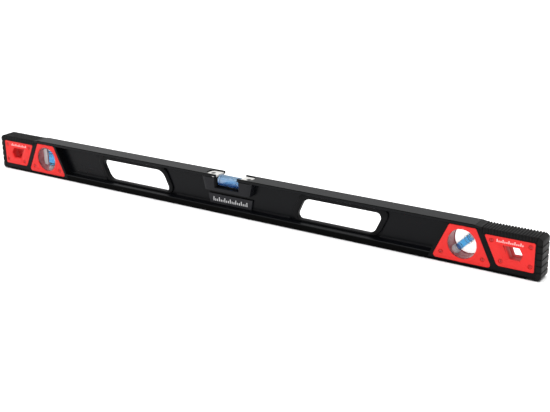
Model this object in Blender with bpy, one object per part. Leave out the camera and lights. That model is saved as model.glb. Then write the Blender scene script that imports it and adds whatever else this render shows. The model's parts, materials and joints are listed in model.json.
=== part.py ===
"""Spirit level: a one metre I-beam level with three vials, two hand holes and rubber ends.

Lengths in this file are millimetres and are turned into metres where a mesh is made.
X runs along the level, -Y is the front, +Z is up, and the origin is the middle of the
milled base. At each end a piece is drawn with u, the distance inwards from that end's
tip, so one description serves the left end (side -1) and the right end (side +1).
"""

import math

import bmesh
import bpy
from mathutils import Matrix, Vector

MM = 0.001

# Driving sizes of the beam.
LENGTH = 1000.0
HALF_LENGTH = LENGTH / 2
HEIGHT = 61.3
HALF_DEPTH = 13.5
WEB_HALF = 1.2
BASE_TOP = 10.2
RAIL_UNDERSIDE = 56.6
LEAN = 0.475

# Clearances between neighbouring pieces.
GAP = 0.3
SEAT = 0.1
OVERSHOOT = 2.0

# Ends of the metal: where the base, the top rail and the web stop.
BASE_END = 19.0
RAIL_END = 93.0
POCKET_FLOOR = 3.3
POCKET_ROOF = 56.9
CORE_SIDE = 147.3
MID_HEIGHT = 30.0

# End core and what it carries.
CORE_HALF = 13.2
PLATE_FACE = 13.1
PLATE_THICK = 2.0
WINDOW_U = 110.8
WINDOW_Z = 30.3
WINDOW_RADIUS = 21.0
RING_OUTER = 23.0
RING_HALF = 9.1
BOSS_RADIUS = 3.8
BOSS_MIDDLE = 9.5
SCREW_LENGTH = 21.0
VIAL_PLATE_HALF = 31.6
VIAL_PLATE_BOTTOM = 4.6
VIAL_PLATE_TOP = 56.0
HANG_SIDE = 69.7
HANG_OUTER = 9.8
HANG_BOTTOM = 10.4
HANG_TOP = 51.3

# Rubber cap.
CAP_INNER_U = 7.0
CAP_SKIRT_Z = 52.3
CAP_TOP_Z = 60.3
RIB_COUNT = 18
RIB_START = 82.6
RIB_STOP = 6.6
RIB_DEPTH = 0.9

# Hand holes.
HAND_U = 307.5
HAND_HALF = 65.6
HAND_LOW = 13.8
HAND_HIGH = 47.4
HAND_MID = (HAND_LOW + HAND_HIGH) / 2
GRIP_RIM = 9.4
LINING_WALL = 5.0
LINING_SILL = 1.8
LINING_CORNER = 8.0
GRIP_FACE = 4.2
GRIP_LOW = 11.2
GRIP_HIGH = 56.3
ACUTE_RADIUS = 7.0
OBTUSE_RADIUS = 18.0

# Middle of the level: housing, vial and clamps.
HOUSING_TOP = 56.3
HOUSING_BOTTOM = 35.0
HOUSING_FACE = 13.3
NOTCH_HALF = 20.5
NOTCH_FLOOR = 41.2
POCKET_HALF_X = 43.0
POCKET_HALF_Y = 10.8
CLAMP_TOP = 59.1
CLAMP_SCREW_X = 33.6
CLAMP_HEAD = 3.6
LEVEL_VIAL_Z = 49.8
BARREL_RADIUS = 9.2
BARREL_HALF = 20.0
STUB_RADIUS = 6.5
NAME_TOP = 27.4
NAME_BOTTOM = 11.3

# End vials, measured along the tube from its middle.
TUBE_RADIUS = 6.2
TUBE_TOP = 22.2
TUBE_FOOT = -15.4
BORE_RADIUS = 4.9

# Screws in the end plates, as (u, z).
VIAL_SCREWS = [(80.8, 14.0), (140.8, 14.0)]
HANG_SCREWS = [(69.4, 44.5), (16.0, 44.8), (55.6, 17.6), (15.5, 18.0)]

SIDES = {"left": -1, "right": 1}
FACES = {"front": -1, "back": 1}
ALONG_Y = (0.0, 1.0, 0.0)


# ---------------------------------------------------------------- outlines

def arc(centre, radius, start, stop, steps):
    """Points on a circle from angle start to stop, in degrees, both ends included."""
    points = []
    for i in range(steps + 1):
        angle = math.radians(start + (stop - start) * i / steps)
        points.append((centre[0] + radius * math.cos(angle), centre[1] + radius * math.sin(angle)))
    return points


def rounded(corners, radii, steps=4):
    """A closed outline through the corners, each one rounded with its own radius."""
    points = []
    count = len(corners)
    for i, radius in enumerate(radii):
        here = Vector(corners[i])
        back = (Vector(corners[i - 1]) - here).normalized()
        ahead = (Vector(corners[(i + 1) % count]) - here).normalized()
        half_angle = back.angle(ahead) / 2
        reach = radius / math.tan(half_angle)
        centre = here + (back + ahead).normalized() * (radius / math.sin(half_angle))
        first = here + back * reach - centre
        last = here + ahead * reach - centre
        start = math.atan2(first.y, first.x)
        turn = math.remainder(math.atan2(last.y, last.x) - start, 2 * math.pi)
        for step in range(steps + 1):
            angle = start + turn * step / steps
            points.append((centre.x + radius * math.cos(angle), centre.y + radius * math.sin(angle)))
    return points


def leaning(u_middle, half_width, z_low, z_high, z_middle):
    """Corners of a parallelogram whose sides lean towards the level's end as they rise."""
    low = LEAN * (z_middle - z_low)
    high = LEAN * (z_middle - z_high)
    return [
        (u_middle - half_width + low, z_low),
        (u_middle + half_width + low, z_low),
        (u_middle + half_width + high, z_high),
        (u_middle - half_width + high, z_high),
    ]


def trapezoid(half_low, half_high, z_low, z_high):
    return [(-half_low, z_low), (half_low, z_low), (half_high, z_high), (-half_high, z_high)]


def side_points(side, outline, y):
    """Carry an outline in u and z to the side plane at depth y."""
    return [(side * (HALF_LENGTH - u), y, z) for u, z in outline]


def plane_points(outline, y):
    return [(x, y, z) for x, z in outline]


def flat_points(outline, z):
    return [(x, y, z) for x, y in outline]


# ---------------------------------------------------------------- solids

def clear_scene():
    for obj in list(bpy.data.objects):
        bpy.data.objects.remove(obj, do_unlink=True)


def make_material(name, color, roughness, metallic=0.0, transmission=0.0, alpha=1.0):
    material = bpy.data.materials.new(name)
    material.use_nodes = True
    shader = material.node_tree.nodes["Principled BSDF"]
    shader.inputs["Base Color"].default_value = (*color, 1.0)
    shader.inputs["Roughness"].default_value = roughness
    shader.inputs["Metallic"].default_value = metallic
    shader.inputs["Transmission Weight"].default_value = transmission
    shader.inputs["Alpha"].default_value = alpha
    material.diffuse_color = (*color, alpha)
    return material


def finish_mesh(name, bm, origin, material):
    """Turn a bmesh in millimetres into an object whose origin is at the given point."""
    bmesh.ops.remove_doubles(bm, verts=bm.verts, dist=0.0005)
    bmesh.ops.recalc_face_normals(bm, faces=bm.faces)
    bmesh.ops.translate(bm, verts=bm.verts, vec=-Vector(origin))
    bmesh.ops.scale(bm, verts=bm.verts, vec=Vector((MM, MM, MM)))
    mesh = bpy.data.meshes.new(name)
    bm.to_mesh(mesh)
    bm.free()
    mesh.shade_smooth()
    mesh.set_sharp_from_angle(angle=math.radians(35))
    obj = bpy.data.objects.new(name, mesh)
    obj.location = Vector(origin) * MM
    bpy.context.scene.collection.objects.link(obj)
    if material:
        mesh.materials.append(material)
    return obj


def loft(name, loops, material=None, origin=(0.0, 0.0, 0.0), ring=False):
    """Skin a row of loops with equal point counts; a ring joins the last to the first."""
    bm = bmesh.new()
    rows = [[bm.verts.new(point) for point in loop] for loop in loops]
    pairs = list(zip(rows, rows[1:]))
    if ring:
        pairs.append((rows[-1], rows[0]))
    for low, high in pairs:
        for i in range(len(low)):
            j = (i + 1) % len(low)
            bm.faces.new((low[i], low[j], high[j], high[i]))
    if not ring:
        bm.faces.new(rows[0])
        bm.faces.new(rows[-1])
    return finish_mesh(name, bm, origin, material)


def turned(name, profile, segments, material=None, ring=False):
    """Revolve a profile of (radius, height) about local Z; a radius of 0 is a pole."""
    bm = bmesh.new()
    rows = []
    for radius, height in profile:
        if radius == 0.0:
            rows.append([bm.verts.new((0.0, 0.0, height))])
            continue
        row = []
        for i in range(segments):
            angle = 2 * math.pi * i / segments
            row.append(bm.verts.new((radius * math.cos(angle), radius * math.sin(angle), height)))
        rows.append(row)
    pairs = list(zip(rows, rows[1:]))
    if ring:
        pairs.append((rows[-1], rows[0]))
    for low, high in pairs:
        if len(low) == 1 and len(high) == 1:
            continue
        for i in range(segments):
            j = (i + 1) % segments
            corners = [low[i % len(low)], low[j % len(low)], high[j % len(high)], high[i % len(high)]]
            bm.faces.new(list(dict.fromkeys(corners)))
    return finish_mesh(name, bm, (0.0, 0.0, 0.0), material)


def slab(outline, y_low, y_high):
    """A prism for cutting or joining, from an outline in x and z."""
    return loft("slab", [plane_points(outline, y_low), plane_points(outline, y_high)])


def side_slab(side, outline, y_low, y_high):
    return loft("side_slab", [side_points(side, outline, y_low), side_points(side, outline, y_high)])


def block(x_low, x_high, y_low, y_high, z_low, z_high):
    outline = [(x_low, z_low), (x_high, z_low), (x_high, z_high), (x_low, z_high)]
    return slab(outline, y_low, y_high)


def rod(radius, length, segments, centre, direction):
    """A plain cylinder for cutting or joining."""
    obj = turned("rod", [(0.0, -length / 2), (radius, -length / 2), (radius, length / 2), (0.0, length / 2)],
                 segments)
    obj.rotation_euler = Vector(direction).to_track_quat("Z", "Y").to_euler()
    obj.location = Vector(centre) * MM
    return obj


def combine(target, others, operation):
    """Apply one Boolean for each other piece, then remove those pieces."""
    for other in others:
        modifier = target.modifiers.new("combine", "BOOLEAN")
        modifier.operation = operation
        modifier.solver = "EXACT"
        modifier.object = other
        bpy.context.view_layer.update()
        graph = bpy.context.evaluated_depsgraph_get()
        result = bpy.data.meshes.new_from_object(target.evaluated_get(graph))
        target.modifiers.clear()
        old = target.data
        target.data = result
        bpy.data.meshes.remove(old)
        bpy.data.objects.remove(other, do_unlink=True)
    bm = bmesh.new()
    bm.from_mesh(target.data)
    bmesh.ops.remove_doubles(bm, verts=bm.verts, dist=0.000002)
    bmesh.ops.dissolve_limit(bm, angle_limit=math.radians(0.05), verts=bm.verts, edges=bm.edges)
    bm.to_mesh(target.data)
    bm.free()
    target.data.name = target.name
    target.data.shade_smooth()
    target.data.set_sharp_from_angle(angle=math.radians(35))
    return target


def cut(target, others):
    return combine(target, others, "DIFFERENCE")


def join(target, others):
    return combine(target, others, "UNION")


# ---------------------------------------------------------------- beam

def beam_section():
    """One half of the I section, from the base up, as (y, z)."""
    web_foot = arc((WEB_HALF + 3.0, 13.8), 3.0, 270, 180, 3)
    web_head = arc((WEB_HALF + 2.0, RAIL_UNDERSIDE - 2.0), 2.0, 180, 90, 2)
    base = [(12.9, 0.0), (HALF_DEPTH, 0.6), (HALF_DEPTH, 9.4), (12.7, BASE_TOP)]
    rail = [(13.0, RAIL_UNDERSIDE), (HALF_DEPTH, 57.1), (HALF_DEPTH, 60.5), (12.7, HEIGHT)]
    half = base + web_foot + web_head + rail
    return half + [(-y, z) for y, z in reversed(half)]


def core_side_u(z):
    """The slanted inner side of the end core."""
    return CORE_SIDE + LEAN * (MID_HEIGHT - z)


def end_pocket(side):
    """What is machined off the beam's end to make room for the core and the cap."""
    outline = [
        (-5.0, POCKET_FLOOR),
        (core_side_u(POCKET_FLOOR) + GAP, POCKET_FLOOR),
        (core_side_u(POCKET_ROOF) + GAP, POCKET_ROOF),
        (RAIL_END, POCKET_ROOF),
        (RAIL_END, HEIGHT + OVERSHOOT),
        (-5.0, HEIGHT + OVERSHOOT),
    ]
    return side_slab(side, outline, -HALF_DEPTH - OVERSHOOT, HALF_DEPTH + OVERSHOOT)


def hand_outline(spread, z_low, z_high, extra_radius, steps=4):
    corners = leaning(HAND_U, HAND_HALF + spread, z_low, z_high, HAND_MID)
    radii = [OBTUSE_RADIUS, ACUTE_RADIUS, OBTUSE_RADIUS, ACUTE_RADIUS]
    return rounded(corners, [radius + extra_radius for radius in radii], steps)


def lining_outline(grow, z_high):
    """The outside of the grips' lining, or with a gap added, the hole in the web for it.

    It reaches up to the top rail, so that no strip of web is left above it.
    """
    corners = leaning(HAND_U, HAND_HALF + LINING_WALL + grow, HAND_LOW - LINING_SILL - grow, z_high, HAND_MID)
    return rounded(corners, [OBTUSE_RADIUS + 3.0, ACUTE_RADIUS + 3.0, LINING_CORNER, LINING_CORNER])


def make_beam(material):
    section = beam_section()
    stop = HALF_LENGTH - BASE_END
    beam = loft("i_beam", [[(x, y, z) for y, z in section] for x in (-stop, stop)], material)
    cutters = []
    for side in SIDES.values():
        cutters.append(end_pocket(side))
        hole = lining_outline(GAP, RAIL_UNDERSIDE + SEAT)
        cutters.append(side_slab(side, hole, -OVERSHOOT, OVERSHOOT))
        seat = leaning(HAND_U, HAND_HALF + GRIP_RIM + 0.6, GRIP_LOW - GAP, GRIP_HIGH + 0.2, HAND_MID)
        for face in FACES.values():
            cutters.append(side_slab(side, seat, face * (WEB_HALF - SEAT), face * 4.6))
    window = trapezoid(39.0, 44.0, 38.0, HEIGHT - 4.0)
    cutters.append(slab(window, -OVERSHOOT, OVERSHOOT))
    pocket = rounded([(-POCKET_HALF_X, -POCKET_HALF_Y), (POCKET_HALF_X, -POCKET_HALF_Y),
                      (POCKET_HALF_X, POCKET_HALF_Y), (-POCKET_HALF_X, POCKET_HALF_Y)], [8.0] * 4)
    cutters.append(loft("pocket", [flat_points(pocket, 54.0), flat_points(pocket, HEIGHT + OVERSHOOT)]))
    cutters.append(block(-NOTCH_HALF, NOTCH_HALF, -15.0, 15.0, 56.0, HEIGHT + OVERSHOOT))
    name_seat = trapezoid(39.4, 42.4, NAME_BOTTOM - GAP, NAME_TOP + GAP)
    for face in FACES.values():
        cutters.append(slab(name_seat, face * (WEB_HALF - SEAT), face * 4.6))
        cutters.append(block(-48.0, 48.0, face * (WEB_HALF - SEAT), face * 3.6, 54.0, 56.65))
    return cut(beam, cutters)


# ---------------------------------------------------------------- end cores and plates

def vial_plate_outline(shrink=0.0):
    half_low = VIAL_PLATE_HALF + LEAN * (MID_HEIGHT - VIAL_PLATE_BOTTOM) - shrink
    half_high = VIAL_PLATE_HALF - LEAN * (VIAL_PLATE_TOP - MID_HEIGHT) - shrink
    shape = trapezoid(half_low, half_high, VIAL_PLATE_BOTTOM + shrink, VIAL_PLATE_TOP - shrink)
    return rounded([(WINDOW_U + x, z) for x, z in shape], [4.2, 4.2, 2.5, 2.5], 3)


def hang_plate_outline(shrink=0.0):
    low = HANG_SIDE + LEAN * (HANG_BOTTOM - MID_HEIGHT) - shrink
    high = HANG_SIDE + LEAN * (HANG_TOP - MID_HEIGHT) - shrink
    corners = [
        (HANG_OUTER + shrink, HANG_BOTTOM + shrink),
        (low, HANG_BOTTOM + shrink),
        (high, HANG_TOP - shrink),
        (HANG_OUTER + shrink, HANG_TOP - shrink),
    ]
    return rounded(corners, [2.0, 6.0, 2.0, 2.0], 3)


def hang_hole(grow=0.0):
    """The five-sided hang hole, pointing to the level's end."""
    return [
        (52.0 + grow, 40.0 + grow),
        (31.0 - grow * 0.5, 40.0 + grow),
        (26.0 - grow, 31.0),
        (30.0 - grow * 0.5, 21.9 - grow),
        (44.3 + grow, 21.9 - grow),
    ]


def make_core(label, side, material):
    outline = [
        (CAP_INNER_U + GAP, POCKET_FLOOR + GAP),
        (core_side_u(POCKET_FLOOR + GAP), POCKET_FLOOR + GAP),
        (core_side_u(HOUSING_TOP), HOUSING_TOP),
        (84.4, HOUSING_TOP),
        (84.4, CAP_SKIRT_Z - GAP),
        (9.6, CAP_SKIRT_Z - GAP),
        (CAP_INNER_U + GAP, 49.7),
    ]
    core = loft(f"end_core_{label}", [side_points(side, outline, y) for y in (-CORE_HALF, CORE_HALF)],
                material)
    cutters = []
    for face in FACES.values():
        floor = face * (PLATE_FACE - PLATE_THICK - GAP)
        out = face * (CORE_HALF + OVERSHOOT)
        cutters.append(side_slab(side, vial_plate_outline(-GAP), floor, out))
        cutters.append(side_slab(side, hang_plate_outline(-GAP), floor, out))
    centre = (side * (HALF_LENGTH - WINDOW_U), 0.0, WINDOW_Z)
    cutters.append(rod(RING_OUTER + GAP, 40.0, 32, centre, ALONG_Y))
    cutters.append(side_slab(side, hang_hole(1.5 + GAP), -20.0, 20.0))
    for u, z in VIAL_SCREWS + HANG_SCREWS:
        x = side * (HALF_LENGTH - u)
        cutters.append(rod(1.7, 40.0, 8, (x, 0.0, z), ALONG_Y))
        for face in FACES.values():
            cutters.append(rod(BOSS_RADIUS + GAP, 8.0, 14, (x, face * BOSS_MIDDLE, z), ALONG_Y))
    return cut(core, cutters)


def make_plate(name, side, face, outline_of, screws, joined, cutters, material):
    """A red cover plate: a bevelled slab, its screw bosses, and whatever else is asked for."""
    outer = face * PLATE_FACE
    shoulder = face * (PLATE_FACE - 0.5)
    inner = face * (PLATE_FACE - PLATE_THICK)
    plate = loft(name, [
        side_points(side, outline_of(0.0), inner),
        side_points(side, outline_of(0.0), shoulder),
        side_points(side, outline_of(0.5), outer),
    ], material)
    holes = []
    for u, z in screws:
        x = side * (HALF_LENGTH - u)
        joined.append(rod(BOSS_RADIUS, 5.0, 12, (x, face * 9.0, z), ALONG_Y))
        if face > 0:
            holes.append(rod(1.4, 5.0, 8, (x, 7.6, z), ALONG_Y))
        else:
            holes.append(rod(1.4, 12.0, 8, (x, -9.0, z), ALONG_Y))
            holes.append(rod(3.0, 4.0, 12, (x, -13.2, z), ALONG_Y))
    join(plate, joined)
    return cut(plate, holes + cutters)


def make_vial_plate(label, side, face_label, face, material):
    centre = (side * (HALF_LENGTH - WINDOW_U), face * 12.0, WINDOW_Z)
    hole = rod(WINDOW_RADIUS, 6.0, 32, centre, ALONG_Y)
    name = f"vial_plate_{label}_{face_label}"
    return make_plate(name, side, face, vial_plate_outline, VIAL_SCREWS, [], [hole], material)


def make_hang_plate(label, side, face_label, face, material):
    """The hang hole's plate, with a sleeve that lines half of the hole and a sloped lead-in."""
    name = f"hang_plate_{label}_{face_label}"
    sleeve = side_slab(side, hang_hole(1.5), face * 0.15, face * 12.0)
    hole = side_slab(side, hang_hole(), -20.0, 20.0)
    ramp_mouth = [(60.5, 39.6), (50.0, 39.6), (41.5, 22.3), (52.0, 22.3)]
    ramp_foot = [(51.9, 39.6), (50.0, 39.6), (41.5, 22.3), (43.4, 22.3)]
    ramp = loft("ramp", [
        side_points(side, ramp_mouth, face * (PLATE_FACE + 0.1)),
        side_points(side, ramp_foot, face * (PLATE_FACE - 1.6)),
    ])
    return make_plate(name, side, face, hang_plate_outline, HANG_SCREWS, [sleeve], [hole, ramp], material)


def make_screw(name, x, z, material):
    """A cheese-head screw that goes in from the front."""
    head = 2.6
    shank = 1.1
    screw = turned(name, [
        (0.0, 0.0),
        (head - 0.3, 0.0),
        (head, -0.3),
        (head, -1.0),
        (shank, -1.0),
        (shank, 1.0 - SCREW_LENGTH),
        (0.0, 0.3 - SCREW_LENGTH),
    ], 10, material)
    screw.rotation_euler = (math.radians(90), 0.0, 0.0)
    screw.location = Vector((x, -PLATE_FACE + 0.6, z)) * MM
    return screw


# ---------------------------------------------------------------- rubber end cap

def cap_stations():
    """Sections along the cap's path, over the top, down the end and under the base.

    Each is (inner point, outer point, half depth, edge rounding), its points in u and z.
    """
    full = HALF_DEPTH
    low = full - 0.6
    stations = [
        ((92.6, 57.2), (92.6, 61.2), full, 0.8),
        ((87.4, 57.2), (87.2, CAP_TOP_Z), full, 0.8),
        ((84.4, 57.2), (84.8, CAP_TOP_Z), full, 0.8),
        ((84.1, CAP_SKIRT_Z), (RIB_START, CAP_TOP_Z), full, 0.8),
    ]
    pitch = (RIB_START - RIB_STOP) / RIB_COUNT
    floor = CAP_TOP_Z - RIB_DEPTH
    for i in range(RIB_COUNT):
        start = RIB_START - pitch * i
        for share, top, half in ((0.14, floor, low), (0.34, floor, low), (0.50, CAP_TOP_Z, full),
                                 (0.98, CAP_TOP_Z, full)):
            u = start - pitch * share
            inner = max(u, 9.4 - 0.02 * i)
            stations.append(((inner, CAP_SKIRT_Z), (u, top), half, 0.8))
    stations.append(((CAP_INNER_U + 0.3, 50.6), (2.6, 58.2), full, 1.2))
    stations.append(((CAP_INNER_U, 50.0), (0.2, 55.6), full, 1.6))
    for groove in (48.4, 39.2, 30.0, 20.8, 11.6):
        stations.append(((CAP_INNER_U, groove + 0.9), (0.0, groove + 0.9), full, 1.6))
        stations.append(((CAP_INNER_U, groove + 0.3), (1.4, groove + 0.3), full - 0.8, 1.4))
        stations.append(((CAP_INNER_U, groove - 0.3), (1.4, groove - 0.3), full - 0.8, 1.4))
        stations.append(((CAP_INNER_U, groove - 0.9), (0.0, groove - 0.9), full, 1.6))
    stations.append(((CAP_INNER_U, 7.6), (0.3, 5.6), full, 1.6))
    stations.append(((CAP_INNER_U, 5.4), (1.9, 2.2), full, 1.4))
    stations.append(((CAP_INNER_U, POCKET_FLOOR), (5.0, 0.5), full, 1.0))
    stations.append(((10.0, POCKET_FLOOR - 0.1), (10.0, 0.4), full, 0.8))
    stations.append(((BASE_END - 0.4, POCKET_FLOOR - 0.1), (BASE_END - 0.4, 0.4), full, 0.8))
    return stations


def make_cap(label, side, material):
    loops = []
    for inner, outer, half, edge in cap_stations():
        inner = Vector(inner)
        outer = Vector(outer)
        middle = outer + (inner - outer).normalized() * edge
        rows = [(inner, -half), (middle, -half), (outer, edge - half), (outer, half - edge),
                (middle, half), (inner, half)]
        loops.append([(side * (HALF_LENGTH - point[0]), y, point[1]) for point, y in rows])
    return loft(f"end_cap_{label}", loops, material)


# ---------------------------------------------------------------- hand grips

def make_grip(label, side, face_label, face, material):
    """Half of a hand hole's lining: a raised rim on the web and a sleeve into the hole."""
    rim = GRIP_RIM
    hole = hand_outline(0.0, HAND_LOW, HAND_HIGH, 0.0)
    hole_edge = hand_outline(1.1, HAND_LOW - 1.1, HAND_HIGH + 1.1, 1.1)
    sleeve = lining_outline(0.0, GRIP_HIGH - GAP)
    rim_edge = hand_outline(rim - 0.8, GRIP_LOW + 0.2, GRIP_HIGH - 0.8, 3.0)
    rim_side = hand_outline(rim, GRIP_LOW, GRIP_HIGH, 4.0)
    rows = [
        (hole, 0.15),
        (hole, GRIP_FACE - 1.1),
        (hole_edge, GRIP_FACE),
        (rim_edge, GRIP_FACE),
        (rim_side, GRIP_FACE - 0.8),
        (rim_side, WEB_HALF + GAP),
        (sleeve, WEB_HALF + GAP),
        (sleeve, 0.15),
    ]
    loops = [side_points(side, outline, face * y) for outline, y in rows]
    return loft(f"hand_grip_{label}_{face_label}", loops, material, ring=True)


# ---------------------------------------------------------------- vials

def vial_empty(name, x, z, direction):
    """An empty at a vial's middle, with its Z along the tube towards the bubble's rest end."""
    empty = bpy.data.objects.new(name, None)
    empty.empty_display_size = 0.01
    empty.location = Vector((x, 0.0, z)) * MM
    empty.rotation_euler = Vector(direction).to_track_quat("Z", "Y").to_euler()
    bpy.context.scene.collection.objects.link(empty)
    return empty


def make_end_vial(name, x, direction, materials):
    """A plumb or angle vial: tube, liquid, bubble at the high end and plug at the low end."""
    clear, liquid, air = materials
    empty = vial_empty(f"{name}_axis", x, WINDOW_Z, direction)
    tube = turned(f"{name}_tube", [
        (TUBE_RADIUS, TUBE_FOOT), (TUBE_RADIUS, TUBE_TOP - 0.8), (TUBE_RADIUS - 0.8, TUBE_TOP),
        (0.0, TUBE_TOP), (0.0, TUBE_TOP - 1.6), (BORE_RADIUS, TUBE_TOP - 1.6), (BORE_RADIUS, TUBE_FOOT),
    ], 20, clear, ring=True)
    fluid = turned(f"{name}_fluid", [
        (0.0, -12.4), (4.6, -12.4), (4.6, 20.2), (3.8, 20.2), (3.8, -7.0), (0.0, -7.0),
    ], 16, liquid)
    bubble = turned(f"{name}_bubble", capsule(3.4, 9.6), 12, air)
    bubble.location = (0.0, 0.0, 15.4 * MM)
    plug = turned(f"{name}_plug", [
        (0.0, -TUBE_TOP), (TUBE_RADIUS - 0.6, -TUBE_TOP), (TUBE_RADIUS, 0.6 - TUBE_TOP),
        (TUBE_RADIUS, TUBE_FOOT - GAP), (4.5, TUBE_FOOT - GAP), (4.5, -12.8), (0.0, -12.8),
    ], 16, clear)
    for piece in (tube, fluid, bubble, plug):
        piece.parent = empty


def capsule(radius, length):
    """Profile of a round-ended slug about its own middle."""
    reach = length / 2 - radius
    lower = arc((0.0, -reach), radius, -90, 0, 3)
    upper = arc((0.0, reach), radius, 0, 90, 3)
    profile = lower + upper
    profile[0] = (0.0, profile[0][1])
    profile[-1] = (0.0, profile[-1][1])
    return profile


def make_level_vial(materials):
    """The horizontal vial: a thick barrel with a stub at each end that the clamps hold down.

    Its liquid has a channel along the top in which the bubble runs.
    """
    clear, liquid, air = materials
    empty = vial_empty("level_vial_axis", 0.0, LEVEL_VIAL_Z, (1.0, 0.0, 0.0))
    tube = turned("level_vial_tube", [
        (STUB_RADIUS, 25.6), (STUB_RADIUS, BARREL_HALF), (BARREL_RADIUS - 0.6, BARREL_HALF),
        (BARREL_RADIUS, BARREL_HALF - 0.6), (BARREL_RADIUS, 0.6 - BARREL_HALF),
        (BARREL_RADIUS - 0.6, -BARREL_HALF), (STUB_RADIUS, -BARREL_HALF), (STUB_RADIUS, -29.4),
        (STUB_RADIUS - 0.6, -30.0), (0.0, -30.0), (0.0, -28.4), (5.3, -28.4), (5.3, 25.6),
    ], 24, clear, ring=True)
    plug = turned("level_vial_plug", [
        (0.0, 30.0), (STUB_RADIUS - 0.5, 30.0), (STUB_RADIUS, 29.5), (STUB_RADIUS, 25.9), (4.9, 25.9),
        (4.9, 24.8), (0.0, 24.8),
    ], 16, clear)
    fluid = turned("level_vial_fluid", [(0.0, -28.1), (5.0, -28.1), (5.0, 24.4), (0.0, 24.4)], 20, liquid)
    for piece in (tube, plug, fluid):
        piece.parent = empty
    bpy.context.view_layer.update()
    channel = turned("channel", capsule(3.0, 48.6), 16)
    channel.rotation_euler = (0.0, math.radians(90), 0.0)
    channel.location = Vector((-1.6, 0.0, LEVEL_VIAL_Z + 2.5)) * MM
    cut(fluid, [channel])
    bubble = turned("level_vial_bubble", capsule(2.6, 26.0), 12, air)
    bubble.rotation_euler = (0.0, math.radians(90), 0.0)
    bubble.location = Vector((0.0, 0.0, LEVEL_VIAL_Z + 2.4)) * MM


def make_ring(name, side, direction, material):
    """The ring that holds an end vial, cross-drilled for the tube."""
    half = RING_HALF
    ring = turned(name, [(RING_OUTER, -half), (RING_OUTER, half), (20.8, half), (20.8, -half)], 32,
                  material, ring=True)
    ring.rotation_euler = (math.radians(90), 0.0, 0.0)
    centre = (side * (HALF_LENGTH - WINDOW_U), 0.0, WINDOW_Z)
    ring.location = Vector(centre) * MM
    bpy.context.view_layer.update()
    return cut(ring, [rod(6.6, 60.0, 20, centre, direction)])


def make_lens(name, side, face, material):
    """A stepped clear window: a flange behind the plate and a face inside its hole."""
    lens = turned(name, [
        (0.0, 9.4), (22.8, 9.4), (22.8, 10.6), (20.6, 10.6), (20.6, 12.1), (20.0, 12.6), (0.0, 12.6),
    ], 32, material)
    lens.rotation_euler = (math.radians(-90 * face), 0.0, 0.0)
    lens.location = Vector((side * (HALF_LENGTH - WINDOW_U), 0.0, WINDOW_Z)) * MM
    return lens


# ---------------------------------------------------------------- middle housing

def make_housing(face_label, face, material):
    """One shell of the middle housing, chamfered around the notch and at its sides."""
    inner = trapezoid(38.6, 43.5, 38.4, 56.0)
    outer = trapezoid(42.0, 47.0, HOUSING_BOTTOM, HOUSING_TOP)
    front = trapezoid(35.6, 40.6, HOUSING_BOTTOM + 0.5, HOUSING_TOP - 0.3)
    rows = [(inner, 0.15), (inner, 1.5), (outer, 1.5), (outer, HOUSING_FACE - 2.0), (front, HOUSING_FACE)]
    shell = loft(f"vial_housing_{face_label}", [plane_points(outline, face * y) for outline, y in rows],
                 material)
    if face < 0:
        join(shell, [rod(3.0, 15.5, 14, (x, 0.0, 48.4), (0.0, 0.0, 1.0))
                     for x in (-CLAMP_SCREW_X, CLAMP_SCREW_X)])
    stub_bore = STUB_RADIUS + GAP
    channel = rod(stub_bore, 61.0, 24, (0.0, 0.0, LEVEL_VIAL_Z), (1.0, 0.0, 0.0))
    throat = block(-30.5, 30.5, -stub_bore, stub_bore, LEVEL_VIAL_Z, 60.0)
    trough = rod(BARREL_RADIUS + GAP, 2 * NOTCH_HALF, 24, (0.0, 0.0, LEVEL_VIAL_Z), (1.0, 0.0, 0.0))
    notch = block(-NOTCH_HALF, NOTCH_HALF, -15.0, 15.0, NOTCH_FLOOR, 60.0)
    splay = loft("splay", [
        plane_points(trapezoid(NOTCH_HALF - 0.5, NOTCH_HALF - 0.5, NOTCH_FLOOR + 0.3, 60.0),
                     face * (HOUSING_FACE - 4.0)),
        plane_points(trapezoid(NOTCH_HALF + 2.6, NOTCH_HALF + 2.6, NOTCH_FLOOR - 0.9, 60.0),
                     face * (HOUSING_FACE + 0.1)),
    ])
    cutters = [channel, throat, trough, notch, splay]
    for x in (-CLAMP_SCREW_X, CLAMP_SCREW_X):
        if face < 0:
            cutters.append(rod(1.3, 12.0, 8, (x, 0.0, 54.0), (0.0, 0.0, 1.0)))
        else:
            cutters.append(rod(3.3, 16.2, 14, (x, 0.0, 48.4), (0.0, 0.0, 1.0)))
    return cut(shell, cutters)


def make_clamp(label, side, material):
    """A cream clamp plate that sits in the rail's pocket and holds one end of the vial."""
    near = NOTCH_HALF + 0.6
    far = POCKET_HALF_X - GAP
    half = POCKET_HALF_Y - GAP
    corners = [(side * near, -half), (side * far, -half), (side * far, half), (side * near, half)]
    outline = rounded(corners, [0.8, 7.7, 7.7, 0.8], 3)
    clamp = loft(f"vial_clamp_{label}", [flat_points(outline, z) for z in (HOUSING_TOP + GAP, CLAMP_TOP)],
                 material)
    screw_x = side * CLAMP_SCREW_X
    cutters = [
        rod(1.6, 10.0, 8, (screw_x, 0.0, CLAMP_TOP), (0.0, 0.0, 1.0)),
        rod(CLAMP_HEAD + GAP, 3.0, 16, (screw_x, 0.0, CLAMP_TOP), (0.0, 0.0, 1.0)),
    ]
    return cut(clamp, cutters)


def make_clamp_screw(label, side, material):
    screw = turned(f"clamp_screw_{label}", [
        (0.0, 0.0), (CLAMP_HEAD - 0.3, 0.0), (CLAMP_HEAD, -0.3), (CLAMP_HEAD, -0.9), (1.1, -0.9),
        (1.1, -10.0), (0.0, -11.0),
    ], 14, material)
    screw.location = Vector((side * CLAMP_SCREW_X, 0.0, CLAMP_TOP - 0.2)) * MM
    return screw


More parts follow.
